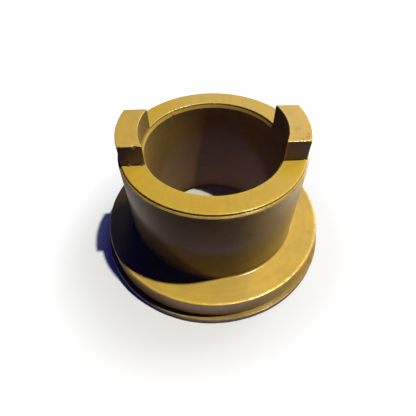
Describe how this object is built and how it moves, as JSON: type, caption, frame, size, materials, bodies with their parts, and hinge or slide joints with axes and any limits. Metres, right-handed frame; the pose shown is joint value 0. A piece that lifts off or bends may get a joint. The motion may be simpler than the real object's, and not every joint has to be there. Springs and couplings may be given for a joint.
{
  "type": "flanged drive sleeve bushing",
  "caption": "Thick-walled bronze sleeve bushing with a smooth through bore, opposed drive tangs on its end face, a thick foot flange and a wider thrust ring under it.",
  "frame": {"origin": "on the bore's axis, at the underside of the thrust ring, the face that the part rests on", "axes": "+Z along the bore from the thrust ring towards the tangs; +X through the middle of one tang, with the other tang on -X"},
  "size_m": [0.113, 0.113, 0.0673],
  "materials": {
    "turned_gold": "machined bronze, turned and milled, satin",
    "ring_gold": "machined bronze, turned, satin, slightly browner"
  },
  "bodies": {
    "root": {"flanged_drive_sleeve": "turned_gold", "thrust_ring": "ring_gold"}
  },
  "joints": []
}
